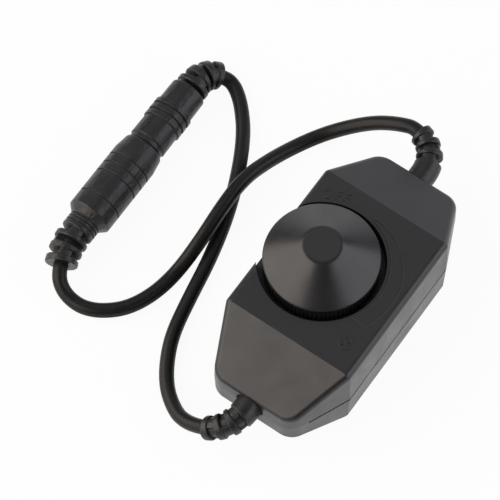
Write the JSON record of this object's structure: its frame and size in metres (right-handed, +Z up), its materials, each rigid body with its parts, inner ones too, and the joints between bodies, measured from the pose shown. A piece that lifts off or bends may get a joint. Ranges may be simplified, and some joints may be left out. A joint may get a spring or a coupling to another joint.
{
  "type": "led dimmer",
  "caption": "In-line LED dimmer: a long octagonal housing with sloping ends, a conical dial sunk in its top, and bent slotted reliefs whose leads end in a plug pushed into a socket.",
  "frame": {"origin": "centre of the housing's flat underside", "axes": "+X along the housing towards the input lead, +Y towards the side that the dial overhangs, +Z up"},
  "size_m": [0.0931, 0.082, 0.0321],
  "materials": {
    "housing_plastic": "fine satin texture",
    "knob_plastic": "smooth satin",
    "relief_rubber": "semi-gloss",
    "cord_jacket": "semi-gloss",
    "connector_overmould": "semi-gloss",
    "screw_steel": "zinc plated",
    "board_laminate": "solder mask",
    "pot_resin": "moulded resin",
    "pot_metal": "plated",
    "shaft_metal": "turned",
    "component_epoxy": "moulded epoxy",
    "capacitor_can": "bright can",
    "lead_insulation": "extruded",
    "contact_metal": "nickel plated",
    "connector_insulator": "moulded"
  },
  "bodies": {
    "housing": {"top_cover": "housing_plastic", "bottom_cover": "housing_plastic", "input_strain_relief": "relief_rubber", "output_strain_relief": "relief_rubber", "input_cord": "cord_jacket", "output_cord": "cord_jacket", "socket_body": "connector_overmould", "plug_body": "connector_overmould", "cover_screws": "screw_steel", "circuit_board": "board_laminate", "pot_base": "pot_resin", "pot_housing": "pot_metal", "pot_washer": "pot_metal", "pot_nut": "pot_metal", "power_transistor": "component_epoxy", "timer_chip": "component_epoxy", "freewheel_diode": "component_epoxy", "chip_resistors": "component_epoxy", "filter_capacitor": "capacitor_can", "input_leads": "lead_insulation", "output_leads": "lead_insulation", "plug_barrel": "contact_metal", "plug_contact": "contact_metal", "socket_pin": "contact_metal", "socket_spring": "contact_metal", "pot_terminals": "contact_metal", "socket_liner": "connector_insulator", "plug_insulator": "connector_insulator"},
    "dial": {"knob": "knob_plastic", "pot_shaft": "shaft_metal", "pot_wiper": "pot_resin"}
  },
  "joints": [
    {"name": "dial_turn", "type": "hinge", "parent": "housing", "child": "dial", "pos_m": [0, 0.0044, 0.0202], "axis": [0, 0, 1], "range_deg": [-150, 150]}
  ]
}
